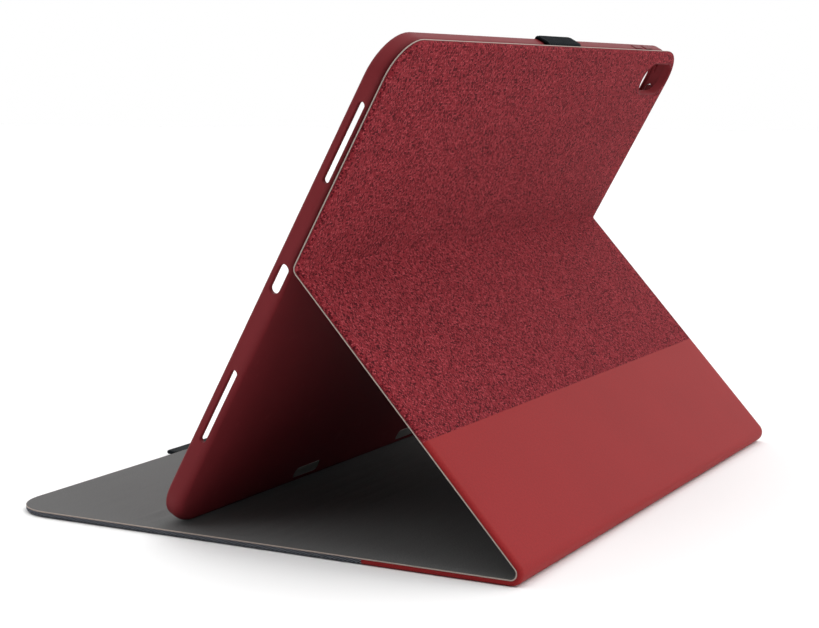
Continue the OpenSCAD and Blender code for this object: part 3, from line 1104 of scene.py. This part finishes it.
class CASE_OT_tray(CaseBuild, Operator):
    """Moulded tray with its port, speaker slots, camera collar and dock magnets"""

    bl_idname = "tablet_case.tray"
    bl_label = "Tray"
    MAGNETS = ("shell_magnet_port_side", "shell_magnet_camera_side")

    def execute(self, context):
        self.prepare(context)
        at, k = self.at, self.sizes
        soft = 0.25 * MM
        lip_in = k.wall + k.lip
        under = at.tray_t - k.lip_thickness
        profile = [
            *rounded(k.back_round, k.back_round, 12),
            *far_side(rounded(k.front_round, k.front_round), at.tray_t),
            (lip_in - soft, at.tray_t), (lip_in, at.tray_t - soft), (lip_in, under + soft),
            (lip_in - soft, under), (k.wall + soft, under), (k.wall, under - soft),
            (k.wall, k.back + 2 * soft), (k.wall + 2 * soft, k.back),
        ]
        shell = leaf("tray", at.tray, at.tray_w, 0, at.tray_h, profile, k.corner, (True, True),
                     rows=[at.tray_h * i / 8 for i in range(1, 8)], columns=8)
        cut(shell, self.cutters())
        smooth(shell)
        dress(shell, self.look["tray"])
        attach(shell, "tray")
        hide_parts("shell_tray")
        self.collar()
        self.magnets()
        return {"FINISHED"}

    def side(self, way):
        """Face of a side wall; x runs up the wall, s towards the front and h into the wall."""
        at, k = self.at, self.sizes
        origin = at.tray.point(way * at.tray_w / 2, 0, at.tray_t - k.slot_depth)
        return Place(origin, at.out, ACROSS * -way, at.up)

    def cutters(self):
        """Cutters for the camera opening, port, speaker slots, button gaps and magnets."""
        at, k = self.at, self.sizes
        found = [self.camera_hole()]
        deep, proud, pad_rim, grow, magnet_corner = 2 * k.wall, 3 * MM, 0.2 * MM, 0.1 * MM, 0.36

        def bar(way, up, long, wide):
            face = self.side(way)
            face.origin = face.origin + at.up * up
            return stadium_cutter(face, long, wide, k.flare, proud, deep)

        found.append(bar(1, k.port_height, k.port_length, k.port_width))
        for way in (1, -1):
            middle = k.port_height - (k.slot_drop if way < 0 else 0)
            for step in (1, -1):
                found.append(bar(way, middle + step * k.slot_pitch, k.slot_length, k.slot_width))
        for node in ("volume_up_button", "volume_down_button", "power_button"):
            face, long, wide = at.pad(node)
            found.append(stadium_cutter(face, long + 2 * k.pad_gap, wide + 2 * k.pad_gap,
                                        pad_rim, proud, deep))
        for node in self.MAGNETS:
            face, long, wide, depth = at.magnet(node)
            found.append(leaf("cutter", face, long + 2 * grow, -wide / 2 - grow,
                              wide / 2 + grow, [(0, -2 * MM), (0, depth + grow)],
                              wide * magnet_corner, (True, True), columns=4))
        return found

    def collar(self):
        """Moulded collar that lines the camera opening through the panel."""
        at, k = self.at, self.sizes
        middle = at.tray.point(k.camera_across, k.camera_up, 0)
        face = Place(middle, at.tray.up, at.tray.out)
        low, high = at.panel_out + 0.12 * MM, k.back - 0.05 * MM
        fit, soft = 0.04 * MM, 0.22 * MM
        profile = [
            (fit, high), (fit, low + soft), (fit + soft / 2, low + soft / 4), (fit + soft, low),
            (k.collar - soft, low), (k.collar - soft / 4, low + soft / 2),
            (k.collar, low + soft), (k.collar, high),
        ]
        collar = leaf("camera_collar", face, k.camera_length, -k.camera_width / 2,
                      k.camera_width / 2, profile, k.camera_width / 2, (True, True),
                      columns=8, ring=True)
        smooth(collar)
        dress(collar, self.look["tray"])
        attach(collar, "tray")

    def magnets(self):
        """Plated bars set flush in the tray's lower back."""
        corner, nick = 0.35, 0.1 * MM
        for node in self.MAGNETS:
            face, long, wide, depth = self.at.magnet(node)
            profile = [*rounded(0.4 * MM, 0.3 * MM, 4), (0, depth - nick), (nick, depth)]
            pad = leaf(node.replace("shell", "dock"), face, long, -wide / 2, wide / 2, profile,
                       wide * corner, (True, True), columns=8)
            smooth(pad)
            dress(pad, self.look["metal"])
            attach(pad, "tray")
            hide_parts(node)


class CASE_OT_buttons(CaseBuild, Operator):
    """Domed pads of the two volume buttons and the power button"""

    bl_idname = "tablet_case.buttons"
    bl_label = "Button pads"

    def execute(self, context):
        self.prepare(context)
        for node, body in (("volume_up_button", "volume_up"),
                           ("volume_down_button", "volume_down"), ("power_button", "power")):
            face, long, wide = self.at.pad(node)
            deep, nick, step = self.sizes.wall + 0.2 * MM, 0.1 * MM, 0.03 * MM
            profile = [(0.9 * MM, 0), *rounded(0.55 * MM, 0.3 * MM, 6, step),
                       (0, deep - nick), (nick, deep)]
            pad = leaf(node.replace("button", "pad"), face, long, -wide / 2, wide / 2, profile,
                       wide / 2, (True, True), columns=8)
            smooth(pad, 40)
            dress(pad, self.look["pads"])
            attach(pad, body)
            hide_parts(node)
        return {"FINISHED"}


class CASE_OT_pen_loop(CaseBuild, Operator):
    """Elastic pen loop over the tray's top wall"""

    bl_idname = "tablet_case.pen_loop"
    bl_label = "Pen loop"

    def execute(self, context):
        self.prepare(context)
        at, k = self.at, self.sizes
        left, right = span("pen_loop", ACROSS)
        top = span("pen_loop", at.up)[1]
        low, high = span("pen_loop", at.out)
        band, bend, edge, tuck = 1.0 * MM, 1.3 * MM, 0.35 * MM, 3.2 * MM
        leg = top - at.tray_top - bend + tuck
        track = LoopTrack(
            at, low, at.tray_top - tuck,
            [("line", leg, 0), ("arc out", -QUARTER, bend), ("line", high - low - 2 * bend, 0),
             ("arc out", -QUARTER, bend), ("line", leg, 0)])
        rows = {track.length * i / 40 for i in range(1, 40)}
        for start in (1, 3):
            rows |= set(np.linspace(track.ends[start], track.ends[start + 1], 9))
        rows = sorted(rows)
        width, middle = right - left, (left + right) / 2
        profile = [*rounded(edge, edge, 4), *far_side(rounded(edge, edge, 4), band)]
        loop = leaf("pen_loop_band", track, width, 0, track.length, profile, rows=rows,
                    columns=16, middle=middle)
        rib_width, rib_rise, end_gap = 0.95 * MM, 0.16 * MM, 0.3 * MM
        ribs = int((width - 2 * MM) / k.rib_pitch)
        rib = leaf("pen_loop_ribs", track, rib_width, end_gap, track.length - end_gap,
                   [(0.3 * MM, -rib_rise), (0.12 * MM, -rib_rise * 0.7), (0, 0),
                    (0.05 * MM, 0.1 * MM)],
                   rows=rows, columns=2, middle=middle - k.rib_pitch * (ribs - 1) / 2)
        repeated(rib, ribs, (k.rib_pitch, 0, 0), self.look["strap"])
        for piece in (loop, rib):
            smooth(piece, 40)
            dress(piece, self.look["strap"])
            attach(piece, "tray")
        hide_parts("pen_loop")
        return {"FINISHED"}


class CASE_OT_closing_tab(CaseBuild, Operator):
    """Closing tab on the cover's free edge"""

    bl_idname = "tablet_case.closing_tab"
    bl_label = "Closing tab"

    def execute(self, context):
        self.prepare(context)
        low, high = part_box("tab_strap")
        thick, width = high.z - low.z, high.x - low.x
        root, corner, rows = 1.6 * MM, 2.4 * MM, 12
        face = Place(Vector(((low.x + high.x) / 2, self.at.free_edge, low.z)),
                     Vector((0, -1, 0)), Vector((0, 0, 1)))
        reach = self.at.free_edge - low.y
        edge = rounded(0.6 * MM, thick / 2, 6)
        tab = leaf("closing_tab_strap", face, width, -root, reach,
                   [*edge, *far_side(edge[:-1], thick)], corner, (False, True),
                   rows=[reach * i / rows for i in range(-1, rows)], columns=32)
        smooth(tab, 40)
        dress(tab, self.look["strap"])
        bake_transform(tab)
        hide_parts("tab_strap")
        return {"FINISHED"}


class CASE_OT_core_parts(CaseBuild, Operator):
    """Finishes of the boards, magnets and adhesive inside the case"""

    bl_idname = "tablet_case.core_parts"
    bl_label = "Core parts"

    def execute(self, context):
        self.prepare(context)
        inside = {
            "board": ("panel_board", "flap_board", "spine_board", "cover_board"),
            "metal": ("dock_magnets_port_side", "dock_magnets_camera_side", "wake_magnets",
                      "tab_magnet"),
            "film": ("panel_bond",),
        }
        for finish, nodes in inside.items():
            for node in nodes:
                dress(frame["nodes"][node], self.look[finish])
        return {"FINISHED"}


class CASE_OT_stage(Operator):
    """Floor, soft lights and camera"""

    bl_idname = "tablet_case.stage"
    bl_label = "Stage"
    bl_options = {"REGISTER"}

    def execute(self, context):
        scene, stage = context.scene, context.scene.case_stage
        half = stage.floor / 2
        mesh = bpy.data.meshes.new("floor")
        mesh.from_pydata([(-half, -half, 0), (half, -half, 0), (half, half, 0), (-half, half, 0)],
                         [], [(0, 1, 2, 3)])
        floor = bpy.data.objects.new("floor", mesh)
        scene.collection.objects.link(floor)
        paint = Finish("studio floor", roughness=0.9, specular_ior_level=0.1,
                       base_color=tuple(scene.case_colours.floor))
        mesh.materials.append(paint.material)
        self.softbox(scene, "key", stage.key, stage.key_place, stage.key_size)
        self.softbox(scene, "fill", stage.fill, stage.fill_place, stage.fill_size)
        scene.world = self.studio(stage)
        scene.view_settings.view_transform = "Standard"
        self.camera(scene, stage)
        return {"FINISHED"}

    def studio(self, stage):
        """White backdrop whose light is softer from the port side of the case."""
        world = bpy.data.worlds.new("white studio")
        world.use_nodes = True
        sky = Nodes(world.node_tree, "Background")
        x, _, _ = sky.parts(sky.node("ShaderNodeTexCoord", output="Generated"))
        shade = sky.ramp(x, stage.shade_from, stage.shade_to)
        light = stage.world - shade * (stage.world - stage.shade)
        seen = sky.node("ShaderNodeLightPath", output="Is Camera Ray")
        sky.feed(color=(1, 1, 1), strength=seen + (1 - seen) * light)
        return world

    def softbox(self, scene, name, watts, where, size):
        lamp = bpy.data.lights.new(name, "AREA")
        lamp.energy, lamp.size = watts, size
        obj = bpy.data.objects.new(name, lamp)
        obj.location = where
        aim = scene.case_stage.aim - Vector(where)
        obj.rotation_euler = aim.to_track_quat("-Z", "Y").to_euler()
        scene.collection.objects.link(obj)

    def camera(self, scene, stage):
        data = bpy.data.cameras.new("camera")
        data.lens, data.sensor_width = stage.lens, 36
        obj = bpy.data.objects.new("camera", data)
        turn = (Matrix.Rotation(-stage.pan, 4, "Z")
                @ Matrix.Rotation(QUARTER - stage.tilt, 4, "X")
                @ Matrix.Rotation(stage.roll, 4, "Z"))
        obj.matrix_world = Matrix.Translation(stage.camera) @ turn
        scene.collection.objects.link(obj)
        scene.camera = obj


class CASE_PT_builder(Panel):
    """Lists the build steps of the tablet case"""

    bl_label = "Tablet case"
    bl_idname = "CASE_PT_builder"
    bl_space_type = "VIEW_3D"
    bl_region_type = "UI"
    bl_category = "Tablet case"

    def draw(self, context):
        for operator in STEPS:
            self.layout.operator(operator.bl_idname)


STEPS = (
    CASE_OT_stage, CASE_OT_woven_back, CASE_OT_smooth_bands, CASE_OT_cover_weave,
    CASE_OT_linings, CASE_OT_tray, CASE_OT_buttons, CASE_OT_pen_loop, CASE_OT_closing_tab,
    CASE_OT_core_parts,
)
GROUPS = {"case_layers": CaseLayers, "case_tray": CaseTray, "case_colours": CaseColours,
          "case_stage": CaseStage}
CLASSES = (*GROUPS.values(), *STEPS, CASE_PT_builder)


def register():
    for cls in CLASSES:
        bpy.utils.register_class(cls)
    for name, group in GROUPS.items():
        setattr(bpy.types.Scene, name, PointerProperty(type=group))


def unregister():
    for name in GROUPS:
        delattr(bpy.types.Scene, name)
    for cls in reversed(CLASSES):
        bpy.utils.unregister_class(cls)


def main():
    register()
    for operator in STEPS:
        group, step = operator.bl_idname.split(".")
        getattr(getattr(bpy.ops, group), step)()
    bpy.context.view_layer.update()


if __name__ == "__main__":
    main()
